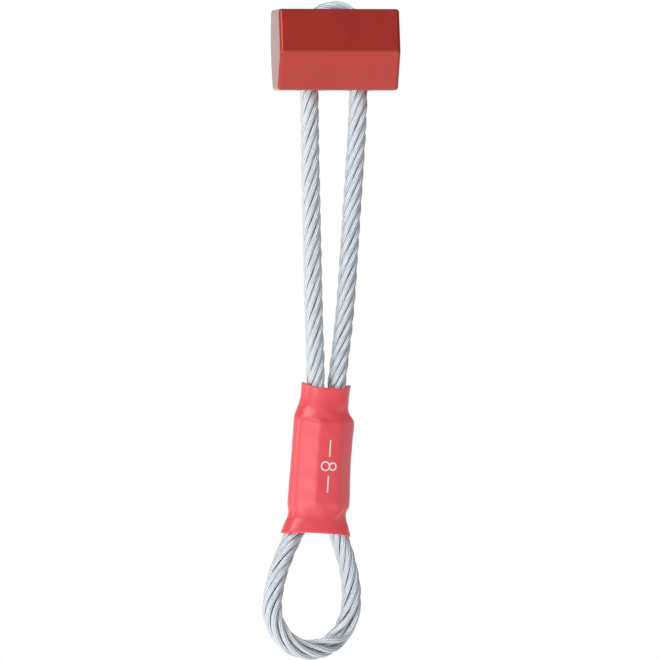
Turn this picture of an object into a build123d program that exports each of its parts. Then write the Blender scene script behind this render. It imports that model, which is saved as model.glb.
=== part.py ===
from build123d import *
from math import pi
import os

# A wired climbing chock: a six-sided aluminium head threaded on a loop of 4 mm wire rope. The rope's
# two ends meet inside a pressed double-barrel ferrule, under a heat-shrunk sleeve, and below the
# ferrule the rope opens into the eye that a karabiner clips.
# Millimetres, +Z up, head on top, eye at the bottom. The origin is the point on the inside of the eye
# where the karabiner bears, +X runs along the head and the head's ridged face looks along -Y.

# Rope
ROPE_DIAMETER = 4.0
ROPE_RADIUS = ROPE_DIAMETER / 2

# Head: an irregular hexagon in Y and Z, with a gently curved back, along X
HEAD_LENGTH = 25.8
HEAD_HEIGHT = 17.2
HEAD_CENTRE_X = 5.4
HEAD_TOP_Z = 133.7
BACK_TOP_Y = 6.6
BACK_BELLY_Y = 7.0
BACK_BOTTOM_Y = 3.8
FRONT_TOP_Y = -6.0
FRONT_RIDGE_Y = -8.3
FRONT_RIDGE_DROP = 0.5
FRONT_BOTTOM_Y = -4.3
HEAD_EDGE_RADIUS = 0.7
RIDGE_RADIUS = 1.2
HOLE_HALF_SPACING = 5.25
HOLE_RADIUS = 2.7
HOLE_MOUTH = 0.5
SADDLE_RADIUS = 2.3
SADDLE_CREST_DROP = 0.24
HEAD_SHIFT = 0.2  # the head rests this far to +X of the rope, within the room in its holes

# Lower end: ferrule, sleeve and eye lean a little to +X and are turned a little about their own axis
LEAN = 3.6
TWIST = 16.5

# Ferrule and sleeve have one kind of section: the outline drawn tight round four crease circles and two
# tip circles, given as crease centre sideways and outwards, crease radius, tip centre and tip radius
SLEEVE_WALL = 0.65
SLEEVE_BODY = (2.2, 3.15, 1.0, 4.3, 2.5)
SLEEVE_SECTIONS = [
    (22.6, (3.0, 0.25, 2.8, 5.1, 3.05)),
    (24.6, (2.6, 1.2, 2.1, 4.3, 3.1)),
    (27.2, (2.3, 2.4, 1.4, 3.9, 2.7)),
    (28.8, SLEEVE_BODY),
    (46.7, SLEEVE_BODY),
    (48.3, (2.1, 1.75, 1.8, 3.1, 2.7)),
    (50.4, (2.0, 0.7, 2.5, 2.6, 2.9)),
    (54.3, (2.0, 0.4, 2.7, 2.45, 3.0)),
]

# Ferrule, 0.05 mm clear of the sleeve all round
FERRULE_SECTION = (2.0, 2.75, 0.7, 4.3, 1.8)
FERRULE_BOTTOM = 29.0
FERRULE_TOP = 46.5
FERRULE_END_CHAMFER = 0.5
BARREL_HALF_SPACING = 2.2
BARREL_CLEARANCE = 0.02
BELL_MOUTH = 0.4
BELL_MOUTH_DEPTH = 1.2
BUTT_GAP = 1.0

# Eye, in the ferrule's frame: sideways and up from the bearing point
EYE_HALF_WIDTH = 9.1
EYE_SIDE_CORNER = 4.27
EYE_BOTTOM_CORNER = 3.77

lower = Location((0, 0, 0), (0, 1, 0), LEAN) * Location((0, 0, 0), (0, 0, 1), TWIST)


def low(side, up):
    """A point given in the ferrule's frame, as a point of the whole part."""
    return (lower * Pos(side, 0, up)).position


def pressed_outline(section, inset=0):
    """The long six-sided outline with rounded creases and tips, wide along X, drawn in by the inset."""
    crease_side, crease_out, crease_radius, tip_side, tip_radius = section
    circles = []
    for side in (-1, 1):
        circles.append(Pos(side * tip_side, 0) * CenterArc((0, 0), tip_radius - inset, 0, 360))
        for out in (-1, 1):
            place = Pos(side * crease_side, out * crease_out)
            circles.append(place * CenterArc((0, 0), crease_radius - inset, 0, 360))
    return make_hull(circles)


def mouth(radius, flare, depth):
    """The cone that eases the end of a hole: widest at the origin, narrowing upwards."""
    return Cone(radius + flare, radius, depth, align=(Align.CENTER, Align.CENTER, Align.MIN))


def make_head():
    top = HEAD_HEIGHT / 2
    bottom = -top
    back = ThreePointArc((BACK_TOP_Y, top), (BACK_BELLY_Y, 0), (BACK_BOTTOM_Y, bottom))
    front = Polyline(
        (BACK_BOTTOM_Y, bottom), (FRONT_BOTTOM_Y, bottom), (FRONT_RIDGE_Y, -FRONT_RIDGE_DROP),
        (FRONT_TOP_Y, top), (BACK_TOP_Y, top))
    outline = make_face(back + front)
    outline = fillet(outline.vertices().sort_by(Axis.X)[0], RIDGE_RADIUS)
    prism = extrude(Plane.YZ * outline, HEAD_LENGTH / 2, both=True)
    ridge_seams = prism.edges().filter_by(Axis.X).sort_by(Axis.Y)[:2]
    prism = fillet(prism.edges() - ridge_seams, HEAD_EDGE_RADIUS)

    saddle_centre = top - SADDLE_CREST_DROP - HOLE_HALF_SPACING
    over_the_top = Axis((0, 0, 0), (0, -1, 0))
    saddle = revolve(Pos(HOLE_HALF_SPACING, 0, 0) * Circle(SADDLE_RADIUS), over_the_top, 180)
    prism -= Pos(0, 0, saddle_centre) * saddle
    for side in (-HOLE_HALF_SPACING, HOLE_HALF_SPACING):
        prism -= Pos(side, 0, 0) * Cylinder(HOLE_RADIUS, 2 * HEAD_HEIGHT)
        cone = mouth(HOLE_RADIUS, HOLE_MOUTH, HOLE_MOUTH)
        prism -= Pos(side, 0, bottom) * cone
        prism -= Pos(side, 0, top) * Rot(180, 0, 0) * cone
    return Pos(HEAD_CENTRE_X, 0, HEAD_TOP_Z - top) * prism


def cable_route():
    """The rope's centreline from one butted end to the other: (point, bend radius) pairs."""
    left = HEAD_CENTRE_X - HEAD_SHIFT - HOLE_HALF_SPACING
    right = HEAD_CENTRE_X - HEAD_SHIFT + HOLE_HALF_SPACING
    crest = HEAD_TOP_Z - SADDLE_CREST_DROP
    saddle_bend = HOLE_HALF_SPACING - 0.02
    barrel = BARREL_HALF_SPACING
    middle = (FERRULE_BOTTOM + FERRULE_TOP) / 2
    return [
        (low(barrel, middle + BUTT_GAP / 2), None),
        (low(barrel, 51.0), 62),
        ((7.54, 0.5, 68.5), 104),
        ((10.4, 0, 113.0), 86),
        ((right, 0, crest), saddle_bend),
        ((left, 0, crest), saddle_bend),
        ((-0.2, 0, 113.0), 200),
        ((0.75, -0.5, 67.0), 170),
        (low(-barrel, 54.0), 62),
        (low(-barrel, 27.6), 9),
        (low(-6.2, 20.6), 41),
        (low(-EYE_HALF_WIDTH, 11.8), 21),
        (low(-EYE_HALF_WIDTH, EYE_SIDE_CORNER), 11),
        (low(-EYE_BOTTOM_CORNER, -ROPE_RADIUS), 8.1),
        (low(EYE_BOTTOM_CORNER, -ROPE_RADIUS), 8.1),
        (low(EYE_HALF_WIDTH, EYE_SIDE_CORNER), 11),
        (low(EYE_HALF_WIDTH, 11.8), 21),
        (low(6.2, 20.6), 41),
        (low(barrel, 27.6), 9),
        (low(barrel, middle - BUTT_GAP / 2), None),
    ]


def make_cable():
    route = cable_route()
    points = [point for point, radius in route]
    bends = [radius for point, radius in route if radius]
    path = FilletPolyline(*points, radius=bends)
    start = Plane(origin=path @ 0, z_dir=path % 0)
    tube = sweep(start * Circle(ROPE_RADIUS), path=path)
    section_times_length = pi * ROPE_RADIUS**2 * path.length
    print(f"cable: {path.length:.1f} mm long, bend radii {bends}")
    print(f"cable: volume {tube.volume:.1f}, section times length {section_times_length:.1f}")
    return tube


def make_ferrule():
    length = FERRULE_TOP - FERRULE_BOTTOM
    body = extrude(pressed_outline(FERRULE_SECTION), length)
    ends = body.edges().group_by(Axis.Z)
    body = chamfer(ends[0] + ends[-1], FERRULE_END_CHAMFER)
    bore = ROPE_RADIUS + BARREL_CLEARANCE
    for side in (-BARREL_HALF_SPACING, BARREL_HALF_SPACING):
        body -= Pos(side, 0, length / 2) * Cylinder(bore, 2 * length)
        cone = mouth(bore, BELL_MOUTH, BELL_MOUTH_DEPTH)
        body -= Pos(side, 0, 0) * cone
        body -= Pos(side, 0, length) * Rot(180, 0, 0) * cone
    return lower * Pos(0, 0, FERRULE_BOTTOM) * body


def make_sleeve():
    outside = []
    inside = []
    for height, section in SLEEVE_SECTIONS:
        outside.append(Pos(0, 0, height) * pressed_outline(section))
        inside.append(Pos(0, 0, height) * pressed_outline(section, SLEEVE_WALL))
    shell = loft(outside, ruled=True) - loft(inside, ruled=True)
    return lower * shell


os.makedirs("parts", exist_ok=True)
export_step(make_head(), "parts/head.step")
export_step(make_cable(), "parts/cable.step")
export_step(make_ferrule(), "parts/ferrule.step")
export_step(make_sleeve(), "parts/sleeve.step")
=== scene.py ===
import math

import bpy
import numpy as np
from mathutils import Matrix, Vector
from mathutils.bvhtree import BVHTree


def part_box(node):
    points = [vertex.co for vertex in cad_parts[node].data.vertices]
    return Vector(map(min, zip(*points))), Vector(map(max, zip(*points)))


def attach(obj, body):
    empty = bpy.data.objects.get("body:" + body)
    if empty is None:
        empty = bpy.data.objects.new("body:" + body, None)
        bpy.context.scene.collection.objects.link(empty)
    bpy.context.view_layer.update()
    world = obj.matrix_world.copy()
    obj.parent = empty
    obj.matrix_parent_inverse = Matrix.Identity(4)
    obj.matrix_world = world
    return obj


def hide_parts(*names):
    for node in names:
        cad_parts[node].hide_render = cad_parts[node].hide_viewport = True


# A wired climbing chock: a red anodised aluminium head on a loop of galvanised wire rope, whose ends are
# pressed in a ferrule under a heat-shrunk sleeve. Sizes are in millimetres, and MM turns them to metres.
MM = 0.001

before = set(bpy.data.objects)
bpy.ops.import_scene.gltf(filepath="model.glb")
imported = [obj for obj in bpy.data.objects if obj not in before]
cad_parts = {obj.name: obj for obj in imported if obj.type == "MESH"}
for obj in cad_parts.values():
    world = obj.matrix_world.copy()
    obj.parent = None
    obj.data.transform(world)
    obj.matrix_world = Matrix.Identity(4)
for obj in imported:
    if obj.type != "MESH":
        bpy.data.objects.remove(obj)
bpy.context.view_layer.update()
head_low, head_high = (np.array(corner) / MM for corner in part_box("head"))

# The ferrule's frame, whose points are given sideways, outwards and up: with the sleeve and the eye it
# leans to +X and is turned about its own axis, in degrees
LEAN = 3.6
TWIST = 16.5
LOWER_FRAME = Matrix.Rotation(math.radians(LEAN), 4, "Y") @ Matrix.Rotation(math.radians(TWIST), 4, "Z")

# Rope: six strands laid right-handed round a core strand, each of six wires. Real wires are finer and
# more. These are drawn coarser, so that they show as ribs, and follow nearly all of the strands' turn,
# so that the ribs run nearly along the strands. The lay is the length of the strands' one full turn.
ROPE_RADIUS = 2.0
STRAND_COUNT = 6
STRAND_RADIUS = 0.64
STRAND_HELIX = ROPE_RADIUS - STRAND_RADIUS
WIRE_COUNT = 6
WIRE_RADIUS = 0.265
WIRE_HELIX = STRAND_RADIUS - WIRE_RADIUS
WIRE_FOLLOW = 0.93
WIRE_STEP = 0.45
WIRE_SIDES = 10
ROPE_LAY = 22.0
LAY_START = math.radians(19)

# The bend round the eye opens the rope, with a longer lay and its strands further out: fully below the
# first height of each pair, and not at all above the second
EYE_LAY = 34.0
EYE_LAY_ENDS = (1.0, 10.0)
EYE_SPREAD = 0.16
EYE_SPREAD_ENDS = (4.0, 18.0)

# The slit in the eye where two strands part: its place sideways and up in the ferrule's frame, the way it
# faces, how far its edges move round the rope in radians, and the length over which that fades
SLIT_PLACE = (6.3, 0.2)
SLIT_FACING = (-0.45, -0.75, 0.48)
SLIT_OPENING = 0.85
SLIT_LENGTH = 4.0

# How unevenly the rope is laid: size, in radians or millimetres, and shortest and longest wave
STRAND_TURN_WANDER = (0.04, 12, 40)
STRAND_RADIUS_WANDER = (0.015, 10, 30)
WIRE_TURN_WANDER = (0.05, 8, 30)
WIRE_RADIUS_WANDER = (0.012, 6, 20)
WANDER_WAVES = 4
ROPE_SEED = 4

# Rope route: half the spacing of the ferrule's barrels and of the head's holes, the crest's drop below the
# head's top, how far the head rests to +X of the rope, and the gap where the rope's ends butt
BARREL = 2.2
HOLE = 5.25
SADDLE_CREST_DROP = 0.24
HEAD_SHIFT = 0.2
BUTT_UP = 37.75
BUTT_GAP = 1.0

# Sleeve: its wall and ends, how far the skirt arches and the mouth dips between the tips, how far the cut
# rims bulge as a share of half the wall, and how many points make it up
SLEEVE_WALL = 0.65
SLEEVE_BOTTOM = 22.4
SLEEVE_TOP = 54.3
SKIRT_ARCH = 0.5
MOUTH_DIP = 0.9
RIM_ROUNDING = 0.6
SLEEVE_AROUND = 160
SLEEVE_ROWS = 150
SECTION_COUNT = 300
OUTLINE_STEPS = 720

# Sections of the sleeve: height, reach to the left and right, tip radius, the creases' place sideways and
# outwards, their radius, and the angle in degrees over which all corners are eased
SLEEVE_KEYS = [
    (21.5, 8.35, 7.85, 3.0, 1.6, 0.25, 2.8, 16),
    (23.0, 7.95, 7.45, 3.0, 1.6, 0.35, 2.8, 16),
    (24.6, 7.35, 6.95, 2.95, 1.6, 0.5, 2.75, 16),
    (25.9, 6.8, 6.45, 2.85, 1.6, 0.65, 2.7, 15),
    (27.0, 6.7, 6.25, 2.75, 1.7, 1.1, 2.5, 13),
    (27.9, 6.85, 6.5, 2.6, 1.9, 1.75, 2.05, 9),
    (28.5, 6.97, 6.9, 2.5, 2.2, 2.75, 1.25, 4),
    (29.2, 7.0, 7.0, 2.5, 2.2, 3.15, 1.0, 3),
    (33.0, 6.97, 6.88, 2.5, 2.2, 3.15, 1.0, 3),
    (38.0, 6.85, 6.72, 2.5, 2.2, 3.15, 1.0, 3),
    (43.0, 6.78, 6.8, 2.5, 2.2, 3.15, 1.0, 3),
    (45.8, 6.74, 6.92, 2.5, 2.2, 3.15, 1.0, 3),
    (46.3, 6.72, 6.9, 2.5, 2.2, 3.05, 1.05, 4),
    (46.7, 6.7, 6.82, 2.55, 2.1, 2.7, 1.25, 6),
    (47.2, 6.64, 6.55, 2.6, 1.9, 2.25, 1.55, 9),
    (47.8, 6.45, 6.05, 2.65, 1.7, 1.85, 1.85, 11),
    (48.6, 6.15, 5.52, 2.7, 1.5, 1.45, 2.1, 13),
    (49.8, 5.72, 5.2, 2.8, 1.4, 0.95, 2.35, 16),
    (51.2, 5.42, 5.15, 2.85, 1.4, 0.5, 2.58, 17),
    (53.0, 5.3, 5.25, 2.9, 1.4, 0.4, 2.65, 17),
    (55.2, 5.3, 5.45, 3.0, 1.4, 0.4, 2.65, 17),
]

# Dimples in the sleeve's front: place sideways and up, reach across and along, slant in degrees, and rise.
# They are the fold in the skirt, the hollow over the right shoulder and the dent below the fold.
SLEEVE_DIMPLES = [
    (2.9, 26.9, 0.4, 1.6, 45, 0.3),
    (3.4, 48.6, 1.6, 1.3, 0, -0.6),
    (4.3, 25.2, 1.0, 1.5, 0, -0.35),
]

# The valley between the legs, which deepens between two heights, the slight ripple all over, and the turn
# of the neck in degrees, which grows between two heights
VALLEY_DEPTH = 0.1
VALLEY_WIDTH = 1.5
VALLEY_ENDS = (49.5, 52.5)
RIPPLE = 0.03
NECK_TURN = -9.0
NECK_TURN_ENDS = (45.8, 49.8)

# Size mark: the rings are given by their place sideways and radius, and the rules by their ends from the
# mark's middle. Each stroke's ink is a step thicker than the last, so that strokes that cross share no
# face, and its root goes down into the sleeve, whose front is looked for from clear of it.
MARK_UP = 37.0
MARK_STROKE = 0.34
MARK_RINGS = [(-0.82, 0.92), (0.86, 0.76)]
MARK_RULES = [(2.0, 5.6), (-5.6, -2.0)]
RING_STEPS = 48
RULE_STEPS = 13
INK = 0.03
INK_STEP = 0.01
INK_ROOT = 0.1
CLEAR_OF_SLEEVE = 9

# Camera: degrees round from the front, and the width and middle of what it sees
CAMERA_AZIMUTH = -8.0
CAMERA_DISTANCE = 3000.0
VIEW_WIDTH = 139.92
VIEW_ASIDE = 4.24
VIEW_UP = 65.72
SENSOR = 36.0

# Studio, in metres: the floor, the surround's strength each way, and the softboxes by name, azimuth,
# elevation, size and power in watts
FLOOR_HEIGHT = -0.25
FLOOR_HALF_SIZE = 4.0
SURROUND_BELOW = 1.14
SURROUND_ABOVE = 0.38
SURROUND_LEFT = 0.98
SURROUND_RIGHT = 0.5
SOFTBOX_DISTANCE = 1.0
SOFTBOXES = [
    ("key_softbox", -32, 42, 0.65, 3.0),
    ("rim_softbox", -75, 0, 0.5, 0.8),
    ("fill_softbox", -25, -8, 0.5, 0.9),
]


def low(side, up):
    """A point on the ferrule's middle plane, as a point of the whole part."""
    return tuple(LOWER_FRAME @ Vector((side, 0, up)))


def colour(hex_code):
    """An sRGB hex colour as a linear RGBA value."""
    channels = [int(hex_code[i:i + 2], 16) / 255 for i in (1, 3, 5)]
    linear = [c / 12.92 if c <= 0.04045 else ((c + 0.055) / 1.055) ** 2.4 for c in channels]
    return (*linear, 1.0)


def per_metre(size):
    """The texture scale whose features are about that many millimetres across."""
    return 1 / (size * MM)


def add(tree, kind, inputs=None, **settings):
    """Adds a node with its settings, and sets or links its inputs."""
    node = tree.nodes.new(kind)
    for name, value in settings.items():
        setattr(node, name, value)
    for socket, value in (inputs or {}).items():
        if isinstance(value, bpy.types.NodeSocket):
            tree.links.new(value, node.inputs[socket])
        else:
            node.inputs[socket].default_value = value
    return node


def new_material(name):
    material = bpy.data.materials.new(name)
    material.use_nodes = True
    material.node_tree.nodes.clear()
    return material, material.node_tree


def finish_material(tree, shader):
    add(tree, "ShaderNodeOutputMaterial", {"Surface": shader.outputs[0]})


def red_anodised_aluminium():
    """Extruded aluminium, tumbled, etched, dyed red and sealed: satin metal under a clear, hard oxide that
    keeps a soft gloss. The dye is a little uneven. Its colour is painted paler along the edges, a painted
    highlight for the light that the rounded edges catch. The etch's grain is some hundredths of a
    millimetre, and is drawn coarser so that it shows."""
    material, tree = new_material("red_anodised_aluminium")
    place = add(tree, "ShaderNodeTexCoord").outputs["Object"]
    patches = add(tree, "ShaderNodeTexNoise", {"Vector": place, "Scale": per_metre(5), "Detail": 3.0})
    dye = add(
        tree, "ShaderNodeMix",
        {0: patches.outputs["Fac"], 6: colour("#B21C0A"), 7: colour("#C02B14")}, data_type="RGBA")
    eased = add(tree, "ShaderNodeBevel", {"Radius": 0.5 * MM}, samples=4)
    surface = add(tree, "ShaderNodeNewGeometry")
    same_way = add(
        tree, "ShaderNodeVectorMath",
        {0: eased.outputs["Normal"], 1: surface.outputs["Normal"]}, operation="DOT_PRODUCT")
    # Painted highlight: the colour turns paler along the edges, where the rounded edges catch the light
    painted_edge_highlight = add(
        tree, "ShaderNodeMapRange",
        {"Value": same_way.outputs["Value"], "From Min": 0.995, "From Max": 0.93, "To Max": 0.1})
    base = add(
        tree, "ShaderNodeMix",
        {0: painted_edge_highlight.outputs["Result"], 6: dye.outputs[2], 7: colour("#E59A90")}, data_type="RGBA")
    etch = add(tree, "ShaderNodeTexNoise", {"Vector": place, "Scale": per_metre(0.25), "Detail": 2.0})
    rough = add(
        tree, "ShaderNodeMapRange", {"Value": patches.outputs["Fac"], "To Min": 0.4, "To Max": 0.5})
    bump = add(
        tree, "ShaderNodeBump", {"Height": etch.outputs["Fac"], "Strength": 0.25, "Distance": 0.03 * MM})
    shader = add(tree, "ShaderNodeBsdfPrincipled", {
        "Base Color": base.outputs[2], "Metallic": 1.0, "Roughness": rough.outputs["Result"],
        "Coat Weight": 1.0, "Coat Roughness": 0.18, "Coat IOR": 1.6, "Normal": bump.outputs["Normal"]})
    finish_material(tree, shader)
    return material


def galvanised_steel_wire():
    """Zinc-coated drawn steel: bright, slightly blue-grey wires, with soft mottling in the zinc."""
    material, tree = new_material("galvanised_steel_wire")
    place = add(tree, "ShaderNodeTexCoord").outputs["Object"]
    zinc = add(tree, "ShaderNodeTexNoise", {"Vector": place, "Scale": per_metre(1.5), "Detail": 3.0})
    base = add(
        tree, "ShaderNodeMix",
        {0: zinc.outputs["Fac"], 6: colour("#D6DDE3"), 7: colour("#EBF0F4")}, data_type="RGBA")
    rough = add(tree, "ShaderNodeMapRange", {"Value": zinc.outputs["Fac"], "To Min": 0.38, "To Max": 0.48})
    shader = add(tree, "ShaderNodeBsdfPrincipled", {
        "Base Color": base.outputs[2], "Metallic": 1.0, "Roughness": rough.outputs["Result"]})
    finish_material(tree, shader)
    return material


def heat_shrunk_polyolefin():
    """Coral-red polyolefin tube shrunk tight with hot air: a smooth skin with a soft gloss and faint
    ripples, pale where it is seen edge-on, and a little light going into it."""
    material, tree = new_material("heat_shrunk_polyolefin")
    place = add(tree, "ShaderNodeTexCoord").outputs["Object"]
    clouds = add(tree, "ShaderNodeTexNoise", {"Vector": place, "Scale": per_metre(6), "Detail": 2.0})
    base = add(
        tree, "ShaderNodeMix",
        {0: clouds.outputs["Fac"], 6: colour("#F43F4B"), 7: colour("#FA4753")}, data_type="RGBA")
    ripples = add(tree, "ShaderNodeTexNoise", {"Vector": place, "Scale": per_metre(1.2), "Detail": 4.0})
    rough = add(tree, "ShaderNodeMapRange", {"Value": ripples.outputs["Fac"], "To Min": 0.3, "To Max": 0.4})
    bump = add(
        tree, "ShaderNodeBump", {"Height": ripples.outputs["Fac"], "Strength": 0.25, "Distance": 0.05 * MM})
    shader = add(tree, "ShaderNodeBsdfPrincipled", {
        "Base Color": base.outputs[2], "IOR": 1.5, "Roughness": rough.outputs["Result"],
        "Coat Weight": 1.0, "Coat Roughness": 0.25, "Coat IOR": 1.6,
        "Sheen Weight": 0.25, "Sheen Roughness": 0.4,
        "Subsurface Weight": 0.15, "Subsurface Radius": (0.8, 0.3, 0.3), "Subsurface Scale": 0.6 * MM,
        "Normal": bump.outputs["Normal"]})
    finish_material(tree, shader)
    return material


def pressed_aluminium():
    """Plain aluminium squeezed between dies: dull grey, with the dies' fine lines along it. The lines are
    about a tenth of a millimetre wide, and are drawn coarser so that they show."""
    material, tree = new_material("pressed_aluminium")
    place = add(tree, "ShaderNodeTexCoord").outputs["Object"]
    stretch = add(tree, "ShaderNodeMapping", {"Vector": place, "Scale": (1.0, 1.0, 0.05)})
    lines = add(
        tree, "ShaderNodeTexNoise",
        {"Vector": stretch.outputs["Vector"], "Scale": per_metre(0.3), "Detail": 2.0})
    base = add(
        tree, "ShaderNodeMix",
        {0: lines.outputs["Fac"], 6: colour("#BDBDB9"), 7: colour("#D2D2CE")}, data_type="RGBA")
    rough = add(tree, "ShaderNodeMapRange", {"Value": lines.outputs["Fac"], "To Min": 0.35, "To Max": 0.55})
    bump = add(
        tree, "ShaderNodeBump", {"Height": lines.outputs["Fac"], "Strength": 0.3, "Distance": 0.02 * MM})
    shader = add(tree, "ShaderNodeBsdfPrincipled", {
        "Base Color": base.outputs[2], "Metallic": 1.0, "Roughness": rough.outputs["Result"],
        "Normal": bump.outputs["Normal"]})
    finish_material(tree, shader)
    return material


def pad_printed_ink():
    """White ink pad-printed on the sleeve: flat white, a little thin in places, so the red shows through."""
    material, tree = new_material("pad_printed_ink")
    place = add(tree, "ShaderNodeTexCoord").outputs["Object"]
    thin = add(tree, "ShaderNodeTexNoise", {"Vector": place, "Scale": per_metre(0.4), "Detail": 2.0})
    base = add(
        tree, "ShaderNodeMix",
        {0: thin.outputs["Fac"], 6: colour("#F6EDEC"), 7: colour("#FBE3E2")}, data_type="RGBA")
    shader = add(tree, "ShaderNodeBsdfPrincipled", {
        "Base Color": base.outputs[2], "Roughness": 0.5, "IOR": 1.5})
    finish_material(tree, shader)
    return material


def new_piece(name, points, faces, material, body):
    """Makes one smooth-shaded mesh piece from points in millimetres, and rides it on its body."""
    mesh = bpy.data.meshes.new(name)
    mesh.from_pydata((np.asarray(points) * MM).tolist(), [], faces)
    mesh.polygons.foreach_set("use_smooth", [True] * len(mesh.polygons))
    mesh.update()
    mesh.materials.append(material)
    piece = bpy.data.objects.new(name, mesh)
    bpy.context.scene.collection.objects.link(piece)
    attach(piece, body)
    return piece


def ring_faces(rows, around, closed, first=0):
    """Four-sided faces between rows of points that go round, numbered from first. If closed, the last row
    is joined to the first."""
    row, column = np.meshgrid(np.arange(rows if closed else rows - 1), np.arange(around), indexing="ij")
    next_row, next_column = (row + 1) % rows, (column + 1) % around
    corners = np.stack([
        row * around + column, row * around + next_column,
        next_row * around + next_column, next_row * around + column], -1)
    return (corners.reshape(-1, 4) + first).tolist()


def end_faces(rows, around, first):
    """The two faces that close the ends of rows of points that go round, numbered from first."""
    last = first + (rows - 1) * around
    return [list(range(first, first + around))[::-1], list(range(last, last + around))]


def eased_share(value, start, end):
    """0 up to the start, 1 from the end on, and a smooth rise between."""
    share = np.clip((value - start) / (end - start), 0, 1)
    return share * share * (3 - 2 * share)


def rope_route():
    """The rope's route, from the butt in the ferrule's right barrel up the right leg, over the head, down
    the left leg and round the eye. Over the saddle its points are corners of an octagon, so that the smooth
    line between them is a half circle."""
    centre = (head_low[0] + head_high[0]) / 2 - HEAD_SHIFT
    left = centre - HOLE
    right = centre + HOLE
    crest = head_high[2] - SADDLE_CREST_DROP
    shoulder = HOLE * math.tan(math.pi / 8)
    springing = crest - HOLE
    return [
        low(BARREL, BUTT_UP + BUTT_GAP / 2),
        low(BARREL, 51.0),
        (7.54, 0.5, 68.5),
        (8.4, 0.4, 82.0),
        (10.4, 0, 113.0),
        (right, 0, springing - shoulder),
        (right, 0, springing + shoulder),
        (centre + shoulder, 0, crest),
        (centre - shoulder, 0, crest),
        (left, 0, springing + shoulder),
        (left, 0, springing - shoulder),
        (-0.2, 0, 113.0),
        (0.75, -0.5, 67.0),
        low(-BARREL, 54.0),
        low(-BARREL, 31.0),
        low(-BARREL, 27.6),
        low(-6.2, 20.6),
        low(-9.1, 11.8),
        low(-9.5, 3.7),
        low(-4.1, -2.1),
        low(3.6, -2.05),
        low(9.0, 3.7),
        low(9.1, 11.8),
        low(6.2, 20.6),
        low(BARREL, 27.6),
        low(BARREL, 31.0),
        low(BARREL, BUTT_UP - BUTT_GAP / 2),
    ]


def spline_line(route):
    """The points of the NURBS spline whose control points are the route, in millimetres."""
    curve = bpy.data.curves.new("rope_route", "CURVE")
    curve.dimensions = "3D"
    curve.resolution_u = 32
    spline = curve.splines.new("NURBS")
    spline.points.add(len(route) - 1)
    for control, point in zip(spline.points, route):
        control.co = (*point, 1.0)
    spline.order_u = 3
    spline.use_endpoint_u = True
    holder = bpy.data.objects.new("rope_route", curve)
    mesh = bpy.data.meshes.new_from_object(holder)
    line = np.array([vertex.co for vertex in mesh.vertices])
    bpy.data.objects.remove(holder)
    bpy.data.curves.remove(curve)
    bpy.data.meshes.remove(mesh)
    return line


def even_steps(line, step):
    """The line in equal steps, and how far along it each point is."""
    lengths = np.linalg.norm(np.diff(line, axis=0), axis=1)
    along = np.concatenate([[0.0], np.cumsum(lengths)])
    places = np.linspace(0, along[-1], round(along[-1] / step) + 1)
    points = np.column_stack([np.interp(places, along, line[:, axis]) for axis in range(3)])
    return points, places


def carried_frame(line):
    """Two directions square to the line at each point, carried along it without twisting."""
    ahead = np.gradient(line, axis=0)
    ahead /= np.linalg.norm(ahead, axis=1, keepdims=True)
    across = np.empty_like(line)
    carried = np.cross(ahead[0], (0.0, 1.0, 0.0))
    for i, direction in enumerate(ahead):
        carried = carried - (carried @ direction) * direction
        carried /= np.linalg.norm(carried)
        across[i] = carried
    return across, np.cross(ahead, across)


def wound_round(line, turn, radius):
    """The line that winds round another, at a turn in radians and a radius for each of its points."""
    across, over = carried_frame(line)
    return line + radius[:, None] * (np.cos(turn)[:, None] * across + np.sin(turn)[:, None] * over)


def wander(places, size, shortest, longest, chance):
    """A smooth seeded wander along a length, the sum of a few waves."""
    total = np.zeros_like(places)
    for _ in range(WANDER_WAVES):
        wavelength = chance.uniform(shortest, longest)
        total += np.sin(2 * math.pi * (places / wavelength + chance.uniform(0, 1)))
    return size * total / math.sqrt(WANDER_WAVES)


def closed_tube(line, radius, sides, first):
    """Points and faces of a round tube with both ends closed, its points numbered from first."""
    angles = np.arange(sides) * 2 * math.pi / sides
    across, over = carried_frame(line)
    spoke = np.cos(angles)[:, None] * across[:, None] + np.sin(angles)[:, None] * over[:, None]
    points = (line[:, None] + radius * spoke).reshape(-1, 3)
    faces = ring_faces(len(line), sides, False, first) + end_faces(len(line), sides, first)
    return points, faces


def opened(line, ends):
    """How far the eye's bend has opened the rope: 1 below the first height and 0 above the second."""
    return 1 - eased_share(line[:, 2], *ends)


def lay_turn(line, places):
    """The strands' turn along the rope: one turn to a lay, which is longer where the eye has opened it."""
    lay = ROPE_LAY + (EYE_LAY - ROPE_LAY) * opened(line, EYE_LAY_ENDS)
    steps = np.diff(places) * 2 * math.pi / ((lay[1:] + lay[:-1]) / 2)
    return LAY_START + np.concatenate([[0.0], np.cumsum(steps)])


def make_strand(name, centre, places, turn, chance, material):
    """One strand: its wires round its centreline, which merge into a ribbed bar."""
    points = []
    faces = []
    for wire in range(WIRE_COUNT):
        wire_turn = WIRE_FOLLOW * turn + wire * 2 * math.pi / WIRE_COUNT
        wire_turn += wander(places, *WIRE_TURN_WANDER, chance)
        radius = WIRE_HELIX + wander(places, *WIRE_RADIUS_WANDER, chance)
        wire_line = wound_round(centre, wire_turn, radius)
        first = wire * len(places) * WIRE_SIDES
        wire_points, wire_faces = closed_tube(wire_line, WIRE_RADIUS, WIRE_SIDES, first)
        points.append(wire_points)
        faces.extend(wire_faces)
    strand = new_piece(name, np.concatenate(points), faces, material, "sling")
    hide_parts("cable")


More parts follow.
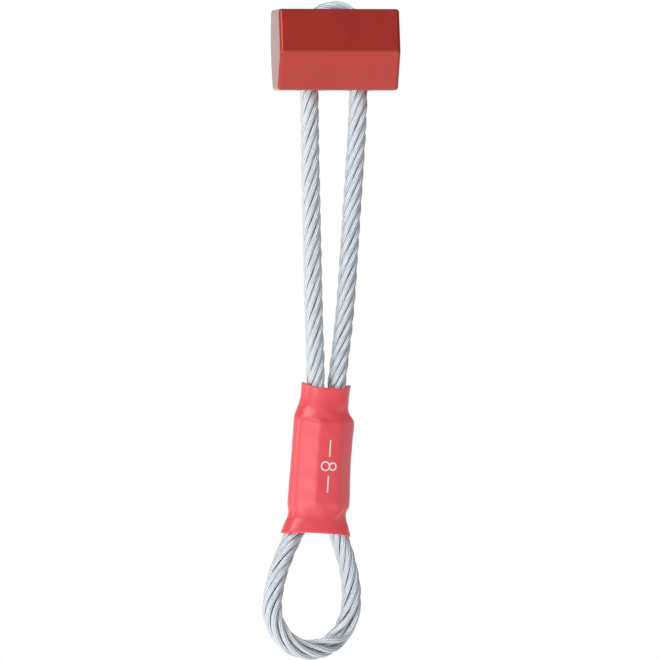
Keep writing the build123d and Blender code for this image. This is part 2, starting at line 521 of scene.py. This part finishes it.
def make_rope(material):
    """The core strand and the strands laid round it, which part at the slit in the eye."""
    chance = np.random.default_rng(ROPE_SEED)
    line, places = even_steps(spline_line(rope_route()), WIRE_STEP)
    across, over = carried_frame(line)
    facing = np.arctan2(over @ np.array(SLIT_FACING), across @ np.array(SLIT_FACING))
    from_slit = np.linalg.norm(line - np.array(low(*SLIT_PLACE)), axis=1)
    parting = SLIT_OPENING * np.exp(-(from_slit / SLIT_LENGTH)**2)
    turn = lay_turn(line, places)
    make_strand("strand_core", line, places, turn, chance, material)
    for number in range(STRAND_COUNT):
        strand_turn = turn + number * 2 * math.pi / STRAND_COUNT
        strand_turn += wander(places, *STRAND_TURN_WANDER, chance)
        strand_turn += parting * np.sin(strand_turn - facing)
        radius = STRAND_HELIX + EYE_SPREAD * opened(line, EYE_SPREAD_ENDS)
        radius += wander(places, *STRAND_RADIUS_WANDER, chance)
        centre = wound_round(line, strand_turn, radius)
        make_strand(f"strand_{number + 1}", centre, places, strand_turn, chance, material)


def pressed_outline(left, right, tip, crease_side, crease_out, crease, ease):
    """The six-sided outline round the ferrule: its reach to the left and right, the tips' radius, the
    creases' place and radius, and the angle over which its corners are eased. Its points are evenly spaced
    from the left tip over the front."""
    circles = [(-(left - tip), 0, tip), (right - tip, 0, tip)]
    for side in (-1, 1):
        for out in (-1, 1):
            circles.append((side * crease_side, out * crease_out, crease))
    angle = np.linspace(math.pi, 3 * math.pi, OUTLINE_STEPS, endpoint=False)
    facing = np.stack([np.cos(angle), np.sin(angle)], -1)
    # Reach is how far out the outline goes in each direction. Its waves are damped to ease the corners.
    reach = np.max([facing @ np.array(circle[:2]) + circle[2] for circle in circles], axis=0)
    waves = np.fft.rfft(reach)
    order = np.arange(len(waves))
    waves *= np.exp(-(order * math.radians(ease))**2 / 2)
    reach = np.fft.irfft(waves)
    slope = np.fft.irfft(1j * order * waves)
    outline = reach[:, None] * facing + slope[:, None] * np.stack([-facing[:, 1], facing[:, 0]], -1)
    side = outline[:, 0]
    outline[:, 0] = np.where(side < 0, side * left / -side.min(), side * right / side.max())
    outline = np.vstack([outline, outline[:1]])
    along = np.concatenate([[0.0], np.cumsum(np.linalg.norm(np.diff(outline, axis=0), axis=1))])
    places = np.arange(SLEEVE_AROUND) / SLEEVE_AROUND * along[-1]
    return np.column_stack([np.interp(places, along, outline[:, axis]) for axis in range(2)])


def through_keys(keys, places):
    """Smooth values at the places from keys of (place, values), with no overshoot between them."""
    keys = np.array(keys, float)
    at, values = keys[:, 0], keys[:, 1:]
    slopes = np.diff(values, axis=0) / np.diff(at)[:, None]
    tangents = np.zeros_like(values)
    same_sign = slopes[1:] * slopes[:-1] > 0
    both = np.where(same_sign, slopes[1:] + slopes[:-1], 1.0)
    tangents[1:-1] = np.where(same_sign, 2 * slopes[1:] * slopes[:-1] / both, 0)
    i = np.clip(np.searchsorted(at, places) - 1, 0, len(at) - 2)
    gap = (at[i + 1] - at[i])[:, None]
    t = (places[:, None] - at[i][:, None]) / gap
    return (
        (2 * t**3 - 3 * t**2 + 1) * values[i] + (t**3 - 2 * t**2 + t) * gap * tangents[i]
        + (3 * t**2 - 2 * t**3) * values[i + 1] + (t**3 - t**2) * gap * tangents[i + 1])


def sleeve_surface():
    """The sleeve's outer skin, as rows of points in the ferrule's frame from the skirt to the mouth."""
    heights = np.linspace(SLEEVE_KEYS[0][0], SLEEVE_KEYS[-1][0], SECTION_COUNT)
    sections = through_keys(SLEEVE_KEYS, heights)
    outlines = np.array([pressed_outline(*section) for section in sections])
    from_middle = np.cos(2 * math.pi * np.arange(SLEEVE_AROUND) / SLEEVE_AROUND)
    top = SLEEVE_TOP - MOUTH_DIP * (1 - from_middle**6)
    bottom = SLEEVE_BOTTOM + SKIRT_ARCH * (1 - from_middle**4)
    share = np.linspace(0, 1, SLEEVE_ROWS)[:, None]
    up = bottom + share * (top - bottom)
    skin = np.empty((SLEEVE_ROWS, SLEEVE_AROUND, 3))
    for column in range(SLEEVE_AROUND):
        for axis in range(2):
            skin[:, column, axis] = np.interp(up[:, column], heights, outlines[:, column, axis])
        skin[:, column, 2] = up[:, column]
    return skin


def outward(skin):
    """The skin's direction outwards at each of its points."""
    round_it = np.roll(skin, -1, axis=1) - np.roll(skin, 1, axis=1)
    up_it = np.gradient(skin, axis=0)
    normal = np.cross(round_it, up_it)
    return normal / np.linalg.norm(normal, axis=2, keepdims=True)


def dimple(side, up, place_side, place_up, across_reach, along_reach, slant, rise):
    """How far a dimple lifts the skin at each point: a soft bump about its place, or a dip."""
    right, above = side - place_side, up - place_up
    cosine, sine = math.cos(math.radians(slant)), math.sin(math.radians(slant))
    across = right * cosine - above * sine
    along = right * sine + above * cosine
    return rise * np.exp(-(across / across_reach)**2 - (along / along_reach)**2)


def crumple(skin):
    """Dimples and ripples the sleeve, pushes the neck in a little between the legs, and turns the neck
    part of the way back to the legs' direction."""
    side, out, up = skin[..., 0], skin[..., 1], skin[..., 2]
    front = out < 0
    valley_share = np.clip((up - VALLEY_ENDS[0]) / (VALLEY_ENDS[1] - VALLEY_ENDS[0]), 0, 1)
    lift = -VALLEY_DEPTH * np.exp(-(side / VALLEY_WIDTH)**2) * valley_share
    for values in SLEEVE_DIMPLES:
        lift += dimple(side, up, *values) * front
    # Two sets of waves that cross, some 4 and 11 millimetres long on the front
    lift += RIPPLE * np.sin(side * 1.3 + up * 0.9) * np.sin(up * 0.55 + out)
    skin = skin + lift[..., None] * outward(skin)
    turn = math.radians(NECK_TURN) * eased_share(up, *NECK_TURN_ENDS)
    side, out = skin[..., 0].copy(), skin[..., 1].copy()
    skin[..., 0] = side * np.cos(turn) - out * np.sin(turn)
    skin[..., 1] = side * np.sin(turn) + out * np.cos(turn)
    return skin


def leaned(points):
    """Points of the ferrule's frame, in a row, as points of the whole part."""
    return points.reshape(-1, 3) @ np.array(LOWER_FRAME.to_3x3()).T


def make_sleeve(skin, material):
    """The sleeve's wall, from its skin inwards, with rounded rims at the mouth and the skirt."""
    into = -outward(skin)
    into[..., 2] = 0
    into /= np.linalg.norm(into, axis=2, keepdims=True)
    inside = skin + SLEEVE_WALL * into
    rim = np.radians(np.arange(15, 180, 15))[:, None, None]
    half_wall = SLEEVE_WALL / 2
    lift = np.array([0, 0, RIM_ROUNDING * half_wall])
    top_rim = skin[-1] + half_wall * (1 - np.cos(rim)) * into[-1] + np.sin(rim) * lift
    bottom_rim = inside[0] - half_wall * (1 - np.cos(rim)) * into[0] - np.sin(rim) * lift
    rows = np.concatenate([skin, top_rim, inside[::-1], bottom_rim])
    faces = ring_faces(len(rows), SLEEVE_AROUND, True)
    sleeve = new_piece("sleeve_skin", leaned(rows), faces, material, "sling")
    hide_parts("sleeve")


def ring_stroke(side, radius):
    """A ring of the size mark: its line sideways and up, and that it is closed."""
    angle = np.linspace(0, 2 * math.pi, RING_STEPS, endpoint=False)
    return np.column_stack([side + radius * np.cos(angle), MARK_UP + radius * np.sin(angle)]), True


def rule_stroke(start, end):
    """A rule of the size mark, which runs along the sleeve: its line, and that it is open."""
    up = MARK_UP + np.linspace(start, end, RULE_STEPS)
    return np.column_stack([np.zeros(RULE_STEPS), up]), False


def make_size_mark(skin, material):
    """The chock's size printed along the sleeve's front: a thin number 8 lying on its side between rules."""
    front = BVHTree.FromPolygons(skin.reshape(-1, 3).tolist(), ring_faces(len(skin), SLEEVE_AROUND, False))
    strokes = [ring_stroke(*ring) for ring in MARK_RINGS] + [rule_stroke(*rule) for rule in MARK_RULES]
    points = []
    faces = []
    for number, (path, closed) in enumerate(strokes):
        ahead = np.roll(path, -1, axis=0) - np.roll(path, 1, axis=0) if closed else np.gradient(path, axis=0)
        ahead /= np.linalg.norm(ahead, axis=1, keepdims=True)
        beside = MARK_STROKE / 2 * np.column_stack([ahead[:, 1], -ahead[:, 0]])
        ink = INK + INK_STEP * number
        edges = [(-beside, ink), (beside, ink), (beside, -INK_ROOT), (-beside, -INK_ROOT)]
        first = len(points)
        for i, place in enumerate(path):
            for offset, rise in edges:
                side, up = place + offset[i]
                hit = front.ray_cast(Vector((side, -CLEAR_OF_SLEEVE, up)), Vector((0, 1, 0)))[0]
                points.append((side, hit.y - rise, up))
        faces.extend(ring_faces(len(path), len(edges), closed, first))
        if not closed:
            faces.extend(end_faces(len(path), len(edges), first))
    new_piece("size_mark", leaned(np.array(points)), faces, material, "sling")


def assign(node, material):
    """Gives a CAD piece its material."""
    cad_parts[node].data.materials.clear()
    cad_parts[node].data.materials.append(material)


def add_camera():
    """A camera far off, so that the object is seen nearly square-on all the way up."""
    azimuth = math.radians(CAMERA_AZIMUTH)
    back = Vector((math.sin(azimuth), -math.cos(azimuth), 0))
    right = Vector((math.cos(azimuth), math.sin(azimuth), 0))
    target = (right * VIEW_ASIDE + Vector((0, 0, VIEW_UP))) * MM
    data = bpy.data.cameras.new("camera")
    data.sensor_width = SENSOR
    data.lens = SENSOR * CAMERA_DISTANCE / VIEW_WIDTH
    camera = bpy.data.objects.new("camera", data)
    camera.location = target + back * CAMERA_DISTANCE * MM
    camera.rotation_euler = (-back).to_track_quat("-Z", "Y").to_euler()
    bpy.context.scene.collection.objects.link(camera)
    bpy.context.scene.camera = camera


def add_softbox(name, azimuth, elevation, size, power):
    """A square soft light that looks at the middle of the object."""
    a, e = math.radians(azimuth), math.radians(elevation)
    away = Vector((math.sin(a) * math.cos(e), -math.cos(a) * math.cos(e), math.sin(e)))
    data = bpy.data.lights.new(name, "AREA")
    data.size = size
    data.energy = power
    light = bpy.data.objects.new(name, data)
    light.location = Vector((0, 0, VIEW_UP * MM)) + away * SOFTBOX_DISTANCE
    light.rotation_euler = away.to_track_quat("Z", "Y").to_euler()
    bpy.context.scene.collection.objects.link(light)


def add_floor():
    """A pale light table well below the object, seen from above only. The surround lights the object from
    below, as the table would, so the floor itself keeps no light from it."""
    material, tree = new_material("pale_light_table")
    shader = add(tree, "ShaderNodeBsdfPrincipled", {
        "Base Color": colour("#F2F2F0"), "Roughness": 0.9,
        "Emission Color": colour("#FFFFFF"), "Emission Strength": 0.3})
    below = add(tree, "ShaderNodeNewGeometry").outputs["Backfacing"]
    clear = add(tree, "ShaderNodeBsdfTransparent")
    one_sided = add(
        tree, "ShaderNodeMixShader", {0: below, 1: shader.outputs[0], 2: clear.outputs[0]})
    finish_material(tree, one_sided)
    mesh = bpy.data.meshes.new("floor")
    half = FLOOR_HALF_SIZE
    corners = [(-half, -half), (half, -half), (half, half), (-half, half)]
    mesh.from_pydata([(x, y, FLOOR_HEIGHT) for x, y in corners], [], [(0, 1, 2, 3)])
    mesh.materials.append(material)
    floor = bpy.data.objects.new("floor", mesh)
    floor.visible_diffuse = False
    floor.visible_glossy = False
    floor.visible_shadow = False
    bpy.context.scene.collection.objects.link(floor)


def add_studio():
    """A plain white backdrop, a surround that lights the object most from below and less from above and
    from the right, and softboxes to the left of the camera."""
    world = bpy.data.worlds.new("studio")
    world.use_nodes = True
    tree = world.node_tree
    tree.nodes.clear()
    towards = add(tree, "ShaderNodeTexCoord").outputs["Generated"]
    axes = add(tree, "ShaderNodeSeparateXYZ", {"Vector": towards})
    upwards = add(tree, "ShaderNodeMapRange", {
        "Value": axes.outputs["Z"], "From Min": -0.5, "From Max": 0.5,
        "To Min": SURROUND_BELOW, "To Max": SURROUND_ABOVE})
    rightwards = add(tree, "ShaderNodeMapRange", {
        "Value": axes.outputs["X"], "From Min": 0.1, "From Max": 0.9,
        "To Min": SURROUND_LEFT, "To Max": SURROUND_RIGHT})
    strength = add(
        tree, "ShaderNodeMath",
        {0: upwards.outputs["Result"], 1: rightwards.outputs["Result"]}, operation="MULTIPLY")
    light = add(tree, "ShaderNodeBackground", {"Color": colour("#FFFFFF"), "Strength": strength.outputs[0]})
    backdrop = add(tree, "ShaderNodeBackground", {"Color": colour("#FFFFFF"), "Strength": 1.0})
    seen = add(tree, "ShaderNodeLightPath")
    both = add(
        tree, "ShaderNodeMixShader",
        {0: seen.outputs["Is Camera Ray"], 1: light.outputs[0], 2: backdrop.outputs[0]})
    add(tree, "ShaderNodeOutputWorld", {"Surface": both.outputs[0]})
    bpy.context.scene.world = world
    for softbox in SOFTBOXES:
        add_softbox(*softbox)
    bpy.context.scene.view_settings.view_transform = "Standard"


add_camera()
add_floor()
add_studio()
make_rope(galvanised_steel_wire())
sleeve_skin = crumple(sleeve_surface())
make_sleeve(sleeve_skin, heat_shrunk_polyolefin())
make_size_mark(sleeve_skin, pad_printed_ink())
assign("head", red_anodised_aluminium())
assign("ferrule", pressed_aluminium())
